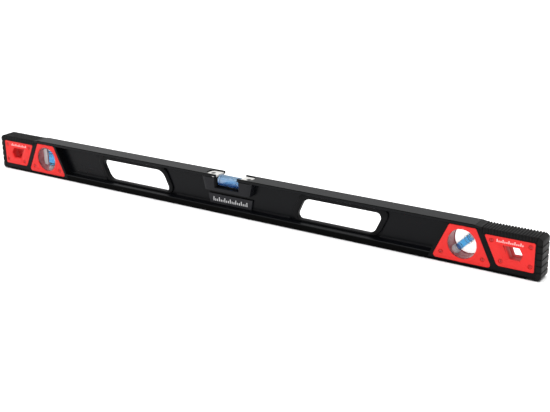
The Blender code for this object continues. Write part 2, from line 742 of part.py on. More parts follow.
def make_name_plate(face_label, face, material):
    low = trapezoid(39.0, 42.0, NAME_BOTTOM, NAME_TOP)
    high = trapezoid(38.5, 41.5, NAME_BOTTOM + 0.5, NAME_TOP - 0.5)
    rows = [(low, WEB_HALF + GAP), (low, 3.9), (high, GRIP_FACE)]
    return loft(f"name_plate_{face_label}", [plane_points(outline, face * y) for outline, y in rows],
                material)


# ---------------------------------------------------------------- assembly

def main():
    clear_scene()
    black_metal = make_material("black_anodised", (0.018, 0.018, 0.020), 0.38, metallic=0.3)
    black_plastic = make_material("black_plastic", (0.014, 0.014, 0.016), 0.45)
    black_rubber = make_material("black_rubber", (0.016, 0.016, 0.017), 0.65)
    grey_plastic = make_material("grey_plastic", (0.036, 0.036, 0.039), 0.5)
    red_plastic = make_material("red_plastic", (0.84, 0.045, 0.035), 0.4)
    cream_plastic = make_material("cream_plastic", (0.78, 0.76, 0.70), 0.45)
    pale_plastic = make_material("pale_plastic", (0.72, 0.66, 0.66), 0.35)
    clear = make_material("clear_acrylic", (0.92, 0.95, 0.98), 0.05, transmission=1.0, alpha=0.35)
    liquid = make_material("blue_liquid", (0.10, 0.42, 0.85), 0.05, transmission=0.9, alpha=0.8)
    air = make_material("air_bubble", (0.75, 0.88, 1.0), 0.05, transmission=1.0, alpha=0.4)
    steel = make_material("dark_screw_steel", (0.10, 0.10, 0.11), 0.4, metallic=0.9)
    red_paint = make_material("red_screw_paint", (0.62, 0.028, 0.024), 0.4)
    vial_materials = (clear, liquid, air)

    make_beam(black_metal)
    directions = {"left": (0.0, 0.0, 1.0), "right": (1.0, 0.0, 1.0)}
    for label, side in SIDES.items():
        make_core(label, side, black_plastic)
        make_cap(label, side, black_rubber)
        make_ring(f"vial_ring_{label}", side, directions[label], pale_plastic)
        for face_label, face in FACES.items():
            make_vial_plate(label, side, face_label, face, red_plastic)
            make_hang_plate(label, side, face_label, face, red_plastic)
            make_lens(f"vial_lens_{label}_{face_label}", side, face, clear)
            make_grip(label, side, face_label, face, black_plastic)
        for number, (u, z) in enumerate(VIAL_SCREWS + HANG_SCREWS, start=1):
            make_screw(f"plate_screw_{label}_{number}", side * (HALF_LENGTH - u), z, red_paint)
        make_clamp(label, side, cream_plastic)
        make_clamp_screw(label, side, steel)
    for face_label, face in FACES.items():
        make_housing(face_label, face, black_plastic)
        make_name_plate(face_label, face, grey_plastic)
    make_level_vial(vial_materials)
    window_x = HALF_LENGTH - WINDOW_U
    make_end_vial("plumb_vial", -window_x, directions["left"], vial_materials)
    make_end_vial("angle_vial", window_x, directions["right"], vial_materials)


main()
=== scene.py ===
"""Looks for the spirit level: fine pieces, procedural materials, studio and camera.

Lengths are millimetres, turned into metres where a mesh is made. The frame is the CAD
model's: X along the level, -Y the front, +Z up, origin in the middle of the base. At each
end u is the distance inwards from that end's tip, and side is -1 (left) or +1 (right).
"""

import json
import math

import bmesh
import bpy
from mathutils import Matrix, Vector


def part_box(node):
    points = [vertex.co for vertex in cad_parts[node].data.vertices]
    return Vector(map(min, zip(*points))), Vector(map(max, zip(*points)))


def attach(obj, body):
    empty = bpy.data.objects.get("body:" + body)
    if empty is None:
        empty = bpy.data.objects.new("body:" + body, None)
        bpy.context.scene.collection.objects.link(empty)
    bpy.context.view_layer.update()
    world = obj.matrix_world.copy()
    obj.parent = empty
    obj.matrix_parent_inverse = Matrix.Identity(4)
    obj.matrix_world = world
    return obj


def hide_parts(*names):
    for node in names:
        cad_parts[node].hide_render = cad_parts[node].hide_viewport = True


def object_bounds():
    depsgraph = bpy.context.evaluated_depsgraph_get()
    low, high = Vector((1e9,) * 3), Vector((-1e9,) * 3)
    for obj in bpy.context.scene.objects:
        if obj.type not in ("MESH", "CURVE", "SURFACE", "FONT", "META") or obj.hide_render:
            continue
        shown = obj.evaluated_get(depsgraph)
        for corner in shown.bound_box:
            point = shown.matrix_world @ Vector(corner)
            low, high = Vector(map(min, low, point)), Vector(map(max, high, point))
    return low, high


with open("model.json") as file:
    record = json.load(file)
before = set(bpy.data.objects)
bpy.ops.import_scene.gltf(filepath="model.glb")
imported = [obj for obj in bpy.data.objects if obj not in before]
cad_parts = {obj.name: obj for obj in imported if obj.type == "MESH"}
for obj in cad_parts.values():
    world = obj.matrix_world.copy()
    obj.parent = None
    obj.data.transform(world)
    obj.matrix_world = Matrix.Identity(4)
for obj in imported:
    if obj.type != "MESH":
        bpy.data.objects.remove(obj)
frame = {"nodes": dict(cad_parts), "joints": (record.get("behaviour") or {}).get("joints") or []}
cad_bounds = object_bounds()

MM = 0.001
BODY = "frame"
SIDES = {"left": -1, "right": 1}
FACES = {"front": -1, "back": 1}


# ---------------------------------------------------------------- sizes from the frame

def box_mm(node):
    """A CAD node's box in millimetres, as (low, high)."""
    low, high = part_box(node)
    return low / MM, high / MM


def middle_mm(node):
    low, high = box_mm(node)
    return (low + high) / 2


HALF_LENGTH = cad_bounds[1][0] / MM
HALF_DEPTH = cad_bounds[1][1] / MM
RING_LOW, RING_HIGH = box_mm("vial_ring_right")
WINDOW_X = (RING_LOW.x + RING_HIGH.x) / 2
WINDOW_U = HALF_LENGTH - WINDOW_X
WINDOW_Z = (RING_LOW.z + RING_HIGH.z) / 2
RING_OUTER = (RING_HIGH.x - RING_LOW.x) / 2
RING_HALF = RING_HIGH.y
PLATE_FACE = -box_mm("vial_plate_right_front")[0].y
BEAM_TOP = box_mm("i_beam")[1].z
CAP_LOW, CAP_HIGH = box_mm("end_cap_right")
CAP_REACH = CAP_HIGH.x - CAP_LOW.x
CAP_TOP = CAP_HIGH.z - 0.9
CORE_HIGH = box_mm("end_core_right")[1]
BARREL_LOW, BARREL_HIGH = box_mm("level_vial_tube")
LEVEL_VIAL_Z = (BARREL_LOW.z + BARREL_HIGH.z) / 2
BARREL_RADIUS = (BARREL_HIGH.z - BARREL_LOW.z) / 2
GRIP_CORNER_LOW, GRIP_CORNER_HIGH = box_mm("hand_grip_right_front")
GRIP_FACE = -GRIP_CORNER_LOW.y
GRIP_LOW = GRIP_CORNER_LOW.z
GRIP_HIGH = GRIP_CORNER_HIGH.z
CLAMP_TOP = box_mm("vial_clamp_right")[1].z
NAME_FACE = -box_mm("name_plate_front")[0].y

LEAN = 0.475
MID_HEIGHT = 30.0
WEB_HALF = 1.2
WINDOW_RADIUS = 21.0
SKIRT = CORE_HIGH.z - 4.0


# ---------------------------------------------------------------- outlines

def arc(centre, radius, start, stop, steps):
    """Points on a circle from angle start to stop, in degrees, both ends included."""
    points = []
    for i in range(steps + 1):
        angle = math.radians(start + (stop - start) * i / steps)
        points.append((centre[0] + radius * math.cos(angle), centre[1] + radius * math.sin(angle)))
    return points


def circle(centre, radius, steps=64):
    return arc(centre, radius, 0, 360, steps)[:-1]


def rounded(corners, radii, steps=8):
    """A closed outline through the corners, each one rounded with its own radius."""
    points = []
    count = len(corners)
    for i, radius in enumerate(radii):
        here = Vector(corners[i])
        back = (Vector(corners[i - 1]) - here).normalized()
        ahead = (Vector(corners[(i + 1) % count]) - here).normalized()
        half_angle = back.angle(ahead) / 2
        reach = radius / math.tan(half_angle)
        centre = here + (back + ahead).normalized() * (radius / math.sin(half_angle))
        first = here + back * reach - centre
        last = here + ahead * reach - centre
        start = math.atan2(first.y, first.x)
        turn = math.remainder(math.atan2(last.y, last.x) - start, 2 * math.pi)
        for step in range(steps + 1):
            angle = start + turn * step / steps
            points.append((centre.x + radius * math.cos(angle), centre.y + radius * math.sin(angle)))
    return points


def leaning(u_middle, half_width, z_low, z_high, z_middle):
    """Corners of a parallelogram whose sides lean towards the level's end as they rise."""
    low = LEAN * (z_middle - z_low)
    high = LEAN * (z_middle - z_high)
    return [
        (u_middle - half_width + low, z_low),
        (u_middle + half_width + low, z_low),
        (u_middle + half_width + high, z_high),
        (u_middle - half_width + high, z_high),
    ]


def rectangle(x, z, width, height, radius):
    corners = [(x - width / 2, z - height / 2), (x + width / 2, z - height / 2),
               (x + width / 2, z + height / 2), (x - width / 2, z + height / 2)]
    return rounded(corners, [radius] * 4, 4)


def side_points(side, outline, y):
    return [(side * (HALF_LENGTH - u), y, z) for u, z in outline]


def end_x(side, u):
    return side * (HALF_LENGTH - u)


# ---------------------------------------------------------------- making pieces

def add_piece(name, mesh, material, body=BODY, replaces=(), location=None):
    """Link a mesh, seat it in the frame and say what it rides on and stands for."""
    obj = bpy.data.objects.new(name, mesh)
    bpy.context.scene.collection.objects.link(obj)
    mesh.materials.clear()
    mesh.materials.append(material)
    if location is not None:
        obj.location = Vector(location) * MM
    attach(obj, body)
    if replaces:
        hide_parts(*replaces)
    return obj


def mesh_from(name, bm, angle=32):
    """Finish a bmesh in millimetres: weld, face outwards, scale to metres, shade."""
    bmesh.ops.remove_doubles(bm, verts=bm.verts, dist=0.0005)
    bmesh.ops.recalc_face_normals(bm, faces=bm.faces)
    bmesh.ops.scale(bm, verts=bm.verts, vec=Vector((MM, MM, MM)))
    mesh = bpy.data.meshes.new(name)
    bm.to_mesh(mesh)
    bm.free()
    mesh.shade_smooth()
    mesh.set_sharp_from_angle(angle=math.radians(angle))
    return mesh


def loft_mesh(name, loops, ring=False, angle=32):
    """Skin a row of loops with equal point counts; a ring joins the last to the first."""
    bm = bmesh.new()
    rows = [[bm.verts.new(point) for point in loop] for loop in loops]
    pairs = list(zip(rows, rows[1:]))
    if ring:
        pairs.append((rows[-1], rows[0]))
    for low, high in pairs:
        for i in range(len(low)):
            j = (i + 1) % len(low)
            bm.faces.new((low[i], low[j], high[j], high[i]))
    if not ring:
        bm.faces.new(rows[0])
        bm.faces.new(rows[-1])
    return mesh_from(name, bm, angle)


def turned_mesh(name, profile, segments, ring=False):
    """Revolve a profile of (radius, height) about local Z; a radius of 0 is a pole."""
    bm = bmesh.new()
    rows = []
    for radius, height in profile:
        if radius == 0.0:
            rows.append([bm.verts.new((0.0, 0.0, height))])
            continue
        rows.append([bm.verts.new((x, y, height)) for x, y in circle((0.0, 0.0), radius, segments)])
    pairs = list(zip(rows, rows[1:]))
    if ring:
        pairs.append((rows[-1], rows[0]))
    for low, high in pairs:
        if len(low) == 1 and len(high) == 1:
            continue
        for i in range(segments):
            j = (i + 1) % segments
            corners = [low[i % len(low)], low[j % len(low)], high[j % len(high)], high[i % len(high)]]
            bm.faces.new(list(dict.fromkeys(corners)))
    return mesh_from(name, bm)


def plate_mesh(name, outlines, y_face, thickness, bevel):
    """A flat plate in x and z with holes and rounded rims, made by filling a flat curve."""
    curve = bpy.data.curves.new(name, "CURVE")
    curve.dimensions = "2D"
    curve.fill_mode = "BOTH"
    curve.extrude = (thickness / 2 - bevel) * MM
    curve.bevel_depth = bevel * MM
    curve.bevel_resolution = 2
    curve.offset = -bevel * MM
    for outline in outlines:
        spline = curve.splines.new("POLY")
        spline.points.add(len(outline) - 1)
        spline.use_cyclic_u = True
        for point, (x, z) in zip(spline.points, outline):
            point.co = (x * MM, z * MM, 0.0, 1.0)
    holder = bpy.data.objects.new(name, curve)
    bpy.context.scene.collection.objects.link(holder)
    bpy.context.view_layer.update()
    graph = bpy.context.evaluated_depsgraph_get()
    mesh = bpy.data.meshes.new_from_object(holder.evaluated_get(graph))
    bpy.data.objects.remove(holder)
    middle = y_face - math.copysign(thickness / 2, y_face)
    mesh.transform(Matrix.Translation((0.0, middle * MM, 0.0)) @ Matrix.Rotation(math.radians(90), 4, "X"))
    bm = bmesh.new()
    bm.from_mesh(mesh)
    bmesh.ops.remove_doubles(bm, verts=bm.verts, dist=0.000002)
    bmesh.ops.recalc_face_normals(bm, faces=bm.faces)
    bm.to_mesh(mesh)
    bm.free()
    mesh.name = name
    mesh.shade_smooth()
    mesh.set_sharp_from_angle(angle=math.radians(50))
    return mesh


def softened_mesh(node, width):
    """A CAD node's mesh copied, cleaned of flat edges and given small rounded edges."""
    bm = bmesh.new()
    bm.from_mesh(frame["nodes"][node].data)
    bmesh.ops.remove_doubles(bm, verts=bm.verts, dist=0.000002)
    bmesh.ops.dissolve_limit(bm, angle_limit=math.radians(0.4), verts=bm.verts, edges=bm.edges)
    sharp = [e for e in bm.edges if e.is_manifold and e.calc_face_angle() > math.radians(33)]
    bmesh.ops.bevel(bm, geom=sharp, offset=width * MM, segments=2, profile=0.5, affect="EDGES",
                    clamp_overlap=True, loop_slide=True)
    bmesh.ops.recalc_face_normals(bm, faces=bm.faces)
    mesh = bpy.data.meshes.new(node + "_fine")
    bm.to_mesh(mesh)
    bm.free()
    mesh.shade_smooth()
    mesh.set_sharp_from_angle(angle=math.radians(40))
    return mesh


def soften_node(node, material, width):
    """Show a CAD node through a copy with rounded edges."""
    mesh = softened_mesh(node, width)
    obj = add_piece(node + "_fine", mesh, material, replaces=[node])
    normals = obj.modifiers.new("even_normals", "WEIGHTED_NORMAL")
    normals.keep_sharp = True
    return obj


def join_meshes(name, meshes):
    """Put several meshes into one, each staying its own closed shell."""
    bm = bmesh.new()
    for mesh in meshes:
        bm.from_mesh(mesh)
    joined = bpy.data.meshes.new(name)
    bm.to_mesh(joined)
    bm.free()
    joined.shade_smooth()
    joined.set_sharp_from_angle(angle=math.radians(40))
    for mesh in meshes:
        bpy.data.meshes.remove(mesh)
    return joined


# ---------------------------------------------------------------- materials

def new_material(name, color, roughness, metallic=0.0, specular=0.5, alpha=1.0):
    material = bpy.data.materials.new(name)
    material.use_nodes = True
    shader = material.node_tree.nodes["Principled BSDF"]
    shader.inputs["Base Color"].default_value = (*color, 1.0)
    shader.inputs["Roughness"].default_value = roughness
    shader.inputs["Metallic"].default_value = metallic
    shader.inputs["Specular IOR Level"].default_value = specular
    shader.inputs["Alpha"].default_value = alpha
    material.diffuse_color = (*color, alpha)
    return material, material.node_tree, shader


def noise_field(tree, scale, detail, stretch=(1.0, 1.0, 1.0)):
    """Noise over the surface in the piece's own metres, stretched per axis."""
    place = tree.nodes.new("ShaderNodeTexCoord")
    mapping = tree.nodes.new("ShaderNodeMapping")
    mapping.inputs["Scale"].default_value = stretch
    noise = tree.nodes.new("ShaderNodeTexNoise")
    noise.inputs["Scale"].default_value = scale
    noise.inputs["Detail"].default_value = detail
    tree.links.new(place.outputs["Object"], mapping.inputs["Vector"])
    tree.links.new(mapping.outputs["Vector"], noise.inputs["Vector"])
    return noise.outputs["Fac"]


def ramp(tree, value, low, high, low_color, high_color):
    """Colour that goes from one to the other as the value goes from low to high."""
    node = tree.nodes.new("ShaderNodeValToRGB")
    node.color_ramp.elements[0].position = low
    node.color_ramp.elements[0].color = (*low_color, 1.0)
    node.color_ramp.elements[1].position = high
    node.color_ramp.elements[1].color = (*high_color, 1.0)
    tree.links.new(value, node.inputs["Fac"])
    return node.outputs["Color"]


def map_range(tree, value, from_low, from_high, to_low, to_high):
    node = tree.nodes.new("ShaderNodeMapRange")
    node.inputs["From Min"].default_value = from_low
    node.inputs["From Max"].default_value = from_high
    node.inputs["To Min"].default_value = to_low
    node.inputs["To Max"].default_value = to_high
    tree.links.new(value, node.inputs["Value"])
    return node.outputs["Result"]


def add_bump(tree, shader, value, distance):
    bump = tree.nodes.new("ShaderNodeBump")
    bump.inputs["Distance"].default_value = distance
    bump.inputs["Strength"].default_value = 0.5
    tree.links.new(value, bump.inputs["Height"])
    tree.links.new(bump.outputs["Normal"], shader.inputs["Normal"])


def shade(color, factor):
    return tuple(channel * factor for channel in color)


def surface(name, color, roughness, metallic=0.0, specular=0.5, vary=0.15, rough_vary=0.08,
            patch_scale=60.0, grain_scale=3500.0, grain_depth=0.00004, stretch=(1.0, 1.0, 1.0)):
    """An opaque material with soft colour patches, uneven gloss and a fine grain."""
    material, tree, shader = new_material(name, color, roughness, metallic, specular)
    patches = noise_field(tree, patch_scale, 4.0, stretch)
    tree.links.new(ramp(tree, patches, 0.3, 0.7, shade(color, 1 - vary), shade(color, 1 + vary)),
                   shader.inputs["Base Color"])
    tree.links.new(map_range(tree, patches, 0.3, 0.7, roughness - rough_vary, roughness + rough_vary),
                   shader.inputs["Roughness"])
    add_bump(tree, shader, noise_field(tree, grain_scale, 2.0, stretch), grain_depth)
    return material


def clear_surface(name, color, roughness, alpha, specular=0.6):
    """A see-through material that works by alpha, with faint streaks of the moulding in its colour."""
    material, tree, shader = new_material(name, color, roughness, 0.0, specular, alpha)
    streaks = noise_field(tree, 120.0, 2.0)
    tree.links.new(ramp(tree, streaks, 0.3, 0.7, shade(color, 0.95), color), shader.inputs["Base Color"])
    return material


def mix_colors(tree, factor, first, second):
    node = tree.nodes.new("ShaderNodeMix")
    node.data_type = "RGBA"
    tree.links.new(factor, node.inputs["Factor"])
    tree.links.new(first, node.inputs["A"])
    tree.links.new(second, node.inputs["B"])
    return node.outputs["Result"]


def tinted_glass(name, color, roughness, bend):
    """Clear coloured liquid that shows what is behind it, with faint streaks in its colour."""
    material, tree, shader = new_material(name, color, roughness, 0.0, 0.5)
    shader.inputs["Transmission Weight"].default_value = 1.0
    shader.inputs["IOR"].default_value = bend
    streaks = noise_field(tree, 120.0, 2.0)
    tree.links.new(ramp(tree, streaks, 0.3, 0.7, shade(color, 0.92), color), shader.inputs["Base Color"])
    return material


def shaded_barrel_surface(name, reflection_share, roughness, alpha):
    """The level vial's barrel or liquid: painted light and shade as blue bands by height, with long pale
    painted reflections in them.
    """
    material, tree, shader = new_material(name, BARREL_SHADE_BANDS[-1][1], roughness, 0.0, 0.2, alpha)
    place = tree.nodes.new("ShaderNodeNewGeometry")
    split = tree.nodes.new("ShaderNodeSeparateXYZ")
    tree.links.new(place.outputs["Position"], split.inputs["Vector"])
    height = map_range(tree, split.outputs["Z"], (LEVEL_VIAL_Z - BARREL_RADIUS) * MM,
                       (LEVEL_VIAL_Z + BARREL_RADIUS) * MM, 0.0, 1.0)
    bands = tree.nodes.new("ShaderNodeValToRGB")
    for _ in BARREL_SHADE_BANDS[2:]:
        bands.color_ramp.elements.new(0.5)
    for element, (position, color) in zip(bands.color_ramp.elements, BARREL_SHADE_BANDS):
        element.position = position
        element.color = (*color, 1.0)
    tree.links.new(height, bands.inputs["Fac"])
    # painted reflections: long pale streaks mixed over the bands
    streaks = map_range(tree, noise_field(tree, 150.0, 2.0, BARREL_REFLECTION_STRETCH), 0.52, 0.66, 0.0, reflection_share)
    light = tree.nodes.new("ShaderNodeRGB")
    light.outputs["Color"].default_value = (*REFLECTION_BLUE, 1.0)
    tree.links.new(mix_colors(tree, streaks, bands.outputs["Color"], light.outputs["Color"]),
                   shader.inputs["Base Color"])
    return material


SLOTS = {
    "black_anodised": ("metal", "metal_painted_shade", "milled"),
    "black_plastic": ("plastic", "satin"),
    "black_rubber": ("rubber",),
    "grey_plastic": ("grey",),
    "red_plastic": ("red", "red_wall_shade"),
    "red_screw_paint": ("red_paint",),
    "cream_plastic": ("cream",),
    "pale_plastic": ("pale", "frost"),
    "dark_screw_steel": ("steel",),
    "clear_acrylic": ("lens", "tube", "plug", "barrel"),
    "blue_liquid": ("liquid", "level_liquid"),
    "air_bubble": ("air",),
}
BRUSHED_ALONG = (0.12, 1.0, 1.0)
BRUSHED_ACROSS = (1.0, 0.1, 1.0)
# the level vial's painted light and shade: the stretch of its painted reflections, their pale blue, and
# the blue bands by height
BARREL_REFLECTION_STRETCH = (0.25, 1.0, 1.2)
NAVY = (0.010, 0.050, 0.19)
AZURE = (0.10, 0.28, 0.55)
SKY = (0.22, 0.37, 0.55)
REFLECTION_BLUE = (0.44, 0.55, 0.68)
BARREL_SHADE_BANDS = [(0.0, (0.05, 0.12, 0.26)), (0.30, NAVY), (0.48, (0.03, 0.14, 0.36)), (0.60, AZURE),
                (0.78, SKY), (1.0, (0.10, 0.17, 0.25))]


def black_materials():
    """Anodised and bare metal, plastics and rubber of the dark parts."""
    anodised = dict(vary=0.12, rough_vary=0.05, patch_scale=18.0, grain_scale=900.0, grain_depth=0.00002,
                    stretch=BRUSHED_ALONG)
    return {
        "metal": surface("black_anodised_look", (0.0024, 0.0027, 0.0036), 0.30, specular=0.085,
                         **anodised),
        # painted shade: a darker, less glossy black for the beam's side band and top edges
        "metal_painted_shade": surface("black_anodised_painted_shade", (0.0012, 0.0012, 0.0012), 0.42, specular=0.02,
                              **anodised),
        "milled": surface("milled_base", (0.34, 0.34, 0.35), 0.32, metallic=0.85, vary=0.12,
                          rough_vary=0.06, grain_scale=700.0, grain_depth=0.00002,
                          stretch=BRUSHED_ACROSS),
        "plastic": surface("black_plastic_look", (0.0030, 0.0031, 0.0036), 0.42, specular=0.07, vary=0.12,
                           rough_vary=0.06),
        "satin": surface("satin_plastic_look", (0.0060, 0.0062, 0.0080), 0.42, specular=0.13, vary=0.12,
                         rough_vary=0.06),
        "rubber": surface("black_rubber_look", (0.0036, 0.0036, 0.0037), 0.50, specular=0.10, vary=0.2,
                          patch_scale=90.0, grain_scale=2600.0, grain_depth=0.00006),
        "grey": surface("grey_plastic_look", (0.0150, 0.0152, 0.0182), 0.5, specular=0.14, vary=0.08,
                        rough_vary=0.05),
        "steel": surface("dark_screw_steel_look", (0.05, 0.05, 0.052), 0.35, metallic=0.8, vary=0.2,
                         patch_scale=400.0),
    }


def bright_materials():
    """Red, cream and pale plastics, and the inks."""
    even = dict(vary=0.04, rough_vary=0.05)
    ink = dict(specular=0.3, rough_vary=0.05, patch_scale=300.0)
    return {
        "red": surface("red_plastic_look", (0.64, 0.020, 0.018), 0.45, specular=0.18, **even),
        # painted shade: a darker red for the deep walls of the hang holes
        "red_wall_shade": surface("red_plastic_painted_shade", (0.52, 0.012, 0.012), 0.45, specular=0.12, **even),
        "red_paint": surface("red_screw_paint_look", (0.50, 0.012, 0.012), 0.36, specular=0.35, vary=0.06,
                             rough_vary=0.05),
        # painted shade for the screws' drive recesses
        "red_drive_shade": surface("red_painted_shade", (0.12, 0.004, 0.004), 0.6, specular=0.1, vary=0.06,
                            rough_vary=0.05),
        "cream": surface("cream_plastic_look", (0.43, 0.425, 0.41), 0.42, specular=0.20, vary=0.03,
                         rough_vary=0.05),
        "pale": surface("pale_plastic_look", (0.40, 0.075, 0.085), 0.3, specular=0.30, vary=0.16,
                        patch_scale=140.0),
        "frost": surface("frosted_plastic_look", (0.86, 0.85, 0.87), 0.3, specular=0.35, vary=0.08,
                         patch_scale=140.0),
        "ink": surface("white_ink", (0.70, 0.70, 0.71), 0.5, vary=0.04, **ink),
        "pink_ink": surface("pink_ink", (0.80, 0.60, 0.59), 0.5, vary=0.04, **ink),
        "line": surface("dark_line", (0.006, 0.010, 0.060), 0.4, vary=0.1, **ink),
        "floor": surface("pale_floor", (0.94, 0.94, 0.94), 0.9, specular=0.1, vary=0.01, rough_vary=0.02,
                         patch_scale=3.0),
    }


def clear_materials():
    """Windows, tubes, plugs, liquids and bubbles."""
    return {
        "lens": clear_surface("window_clear", (0.12, 0.12, 0.13), 0.06, 0.13, specular=0.25),
        "tube": clear_surface("clear_acrylic_look", (0.12, 0.34, 0.66), 0.06, 0.05),
        "plug": clear_surface("plug_clear", (0.86, 0.84, 0.87), 0.12, 0.80),
        "air": clear_surface("air_bubble_look", (0.70, 0.82, 0.95), 0.05, 0.8),
        "liquid": tinted_glass("blue_liquid_look", (0.07, 0.50, 1.0), 0.06, 1.05),
        # painted light and shade in bands, with painted reflections, on the barrel and its liquid
        "barrel": shaded_barrel_surface("barrel_clear", 0.7, 0.07, 0.50),
        "level_liquid": shaded_barrel_surface("level_liquid", 0.3, 0.1, 0.62),
    }


def make_materials():
    """Every material by a short name, each told which of the record's slots it shows."""
    mats = {**black_materials(), **bright_materials(), **clear_materials()}
    for slot_name, keys in SLOTS.items():
        for key in keys:
            mats[key]["slot"] = slot_name
    return mats


# ---------------------------------------------------------------- metal and cores

MILLED_EDGE = 0.5
# heights of the beam's painted shade: the band along the base's sides and the top edges
SHADE_BAND_LOW = 2.2
SHADE_BAND_HIGH = 9.3
SHADE_LIP_LOW = 60.4
# where the housing's notch chamfers get painted shade
NOTCH_REACH = 23.6
NOTCH_LOW = 39.8


def paint_beam(beam, mats):
    """Bare milled metal on the base; painted shade as a darker, less glossy black on a band along its
    sides and on the top edges.
    """
    beam.data.materials.append(mats["milled"])
    beam.data.materials.append(mats["metal_painted_shade"])
    for face in beam.data.polygons:
        height = face.center.z / MM
        outside = abs(face.center.y) / MM > HALF_DEPTH - 0.75
        if height < MILLED_EDGE:
            face.material_index = 1
        elif outside and (SHADE_BAND_LOW < height < SHADE_BAND_HIGH or SHADE_LIP_LOW < height < BEAM_TOP - 0.05):
            face.material_index = 2


def paint_housing(housing, mats):
    """Painted shade on the chamfers around the notch, below and beside the vial: they take the darker
    black plastic.
    """
    housing.data.materials.append(mats["plastic"])
    for face in housing.data.polygons:
        height = face.center.z / MM
        facing = abs(face.normal.y)
        # painted shade: the notch chamfers take the darker plastic
        if abs(face.center.x) / MM < NOTCH_REACH and height > NOTCH_LOW and facing < 0.97:
            face.material_index = 1


def make_metal_and_cores(mats):
    paint_beam(soften_node("i_beam", mats["metal"], 0.3), mats)
    for label in SIDES:
        soften_node(f"end_core_{label}", mats["plastic"], 0.35)
        soften_node(f"vial_clamp_{label}", mats["cream"], 0.3)
    for face_label in FACES:
        paint_housing(soften_node(f"vial_housing_{face_label}", mats["satin"], 0.35), mats)
        soften_node(f"name_plate_{face_label}", mats["grey"], 0.2)


# ---------------------------------------------------------------- rubber end caps

RIB_COUNT = 18
RIB_START = 82.6
RIB_STOP = 6.6
RIB_DEPTH = 1.4
RIB_STEPS = 10
END_GROOVES = (48.4, 39.2, 30.0, 20.8, 11.6)
TONGUE_LOW = 57.2
TONGUE_TOP = 61.2
FOOT_LOW = 0.45
FOOT_HIGH = 3.2
CAP_INNER_U = HALF_LENGTH - CORE_HIGH.x - 0.3


def rib_height(share):
    """Height of the rubber over one pitch: a flat-topped rib and a round-bottomed groove."""
    wave = 0.5 - 0.5 * math.cos(2 * math.pi * share)
    return min(1.0, 1.45 * wave)


def cap_stations():
    """Sections along the cap: (inner point, outer point, half depth, edge rounding)."""
    full = HALF_DEPTH
    stations = [
        ((CAP_REACH, TONGUE_LOW), (CAP_REACH, TONGUE_TOP), full, 0.7),
        ((CAP_REACH - 0.4, TONGUE_LOW), (CAP_REACH - 0.5, TONGUE_TOP), full, 0.8),
        ((CAP_REACH - 4.9, TONGUE_LOW), (CAP_REACH - 5.1, CAP_TOP + 0.1), full, 0.8),
        ((CAP_REACH - 5.4, TONGUE_LOW), (CAP_REACH - 5.6, CAP_TOP), full, 0.8),
        ((84.4, TONGUE_LOW), (84.8, CAP_TOP), full, 0.8),
        ((84.1, SKIRT), (83.2, CAP_TOP), full, 0.8),
    ]
    pitch = (RIB_START - RIB_STOP) / RIB_COUNT
    for i in range(RIB_COUNT):
        for step in range(RIB_STEPS):
            share = step / RIB_STEPS
            u = RIB_START - pitch * (i + share)
            sunk = RIB_DEPTH * (1 - rib_height(share))
            inner = max(u, 9.4 - 0.002 * (i * RIB_STEPS + step))
            stations.append(((inner, SKIRT), (u, CAP_TOP - sunk), full - 0.7 * sunk, 0.8))
    stations.append(((CAP_INNER_U + 0.35, 50.7), (5.6, CAP_TOP - 0.3), full, 1.0))
    stations.append(((CAP_INNER_U + 0.3, 50.6), (2.6, 58.2), full, 1.2))
    stations.append(((CAP_INNER_U + 0.1, 50.3), (0.9, 56.6), full, 1.4))
    stations.append(((CAP_INNER_U, 50.0), (0.2, 55.4), full, 1.6))
    for groove in END_GROOVES:
        for offset, depth in ((1.5, 0.1), (1.1, 0.0), (0.8, 0.25), (0.45, 1.2), (0.0, 1.5),
                              (-0.45, 1.2), (-0.8, 0.25), (-1.1, 0.0), (-1.5, 0.1)):
            z = groove + offset
            stations.append(((CAP_INNER_U, z), (depth, z), full - 0.6 * depth, 1.6))
        stations.append(((CAP_INNER_U, groove - 4.6), (0.0, groove - 4.6), full, 1.6))
    for angle in range(0, 91, 15):
        turn = math.radians(angle)
        outer = (5.2 - 5.0 * math.cos(turn), 5.5 - 5.0 * math.sin(turn))
        inner = (CAP_INNER_U + 0.001 * angle, 6.4 - 2.95 * math.sin(turn))
        stations.append((inner, outer, full, 1.4 - 0.006 * angle))
    stations.append(((10.0, FOOT_HIGH), (10.0, FOOT_LOW), full, 0.8))
    stations.append(((18.2, FOOT_HIGH), (18.2, FOOT_LOW), full, 0.8))
    stations.append(((18.6, 3.0), (18.6, 0.75), full - 0.2, 0.7))
    return stations


def cap_loop(side, station):
    """One closed section of the cap with rounded outer corners."""
    inner, outer, half, edge = station
    inner = Vector(inner)
    outer = Vector(outer)
    inward = (inner - outer).normalized()
    rows = [(inner, -half)]
    for angle in range(0, 91, 18):
        turn = math.radians(angle)
        rows.append((outer + inward * edge * (1 - math.sin(turn)), -half + edge * (1 - math.cos(turn))))
    for angle in range(90, -1, -18):
        turn = math.radians(angle)
        rows.append((outer + inward * edge * (1 - math.sin(turn)), half - edge * (1 - math.cos(turn))))
    rows.append((inner, half))
    return [(end_x(side, point[0]), y, point[1]) for point, y in rows]


def make_caps(mats):
    """Rubber caps: a tongue by the top rail, ribs on top, grooves down the end, and a foot."""
    for label, side in SIDES.items():
        loops = [cap_loop(side, station) for station in cap_stations()]
        mesh = loft_mesh(f"end_cap_{label}_fine", loops, angle=38)
        add_piece(mesh.name, mesh, mats["rubber"], replaces=[f"end_cap_{label}"])


# ---------------------------------------------------------------- red plates

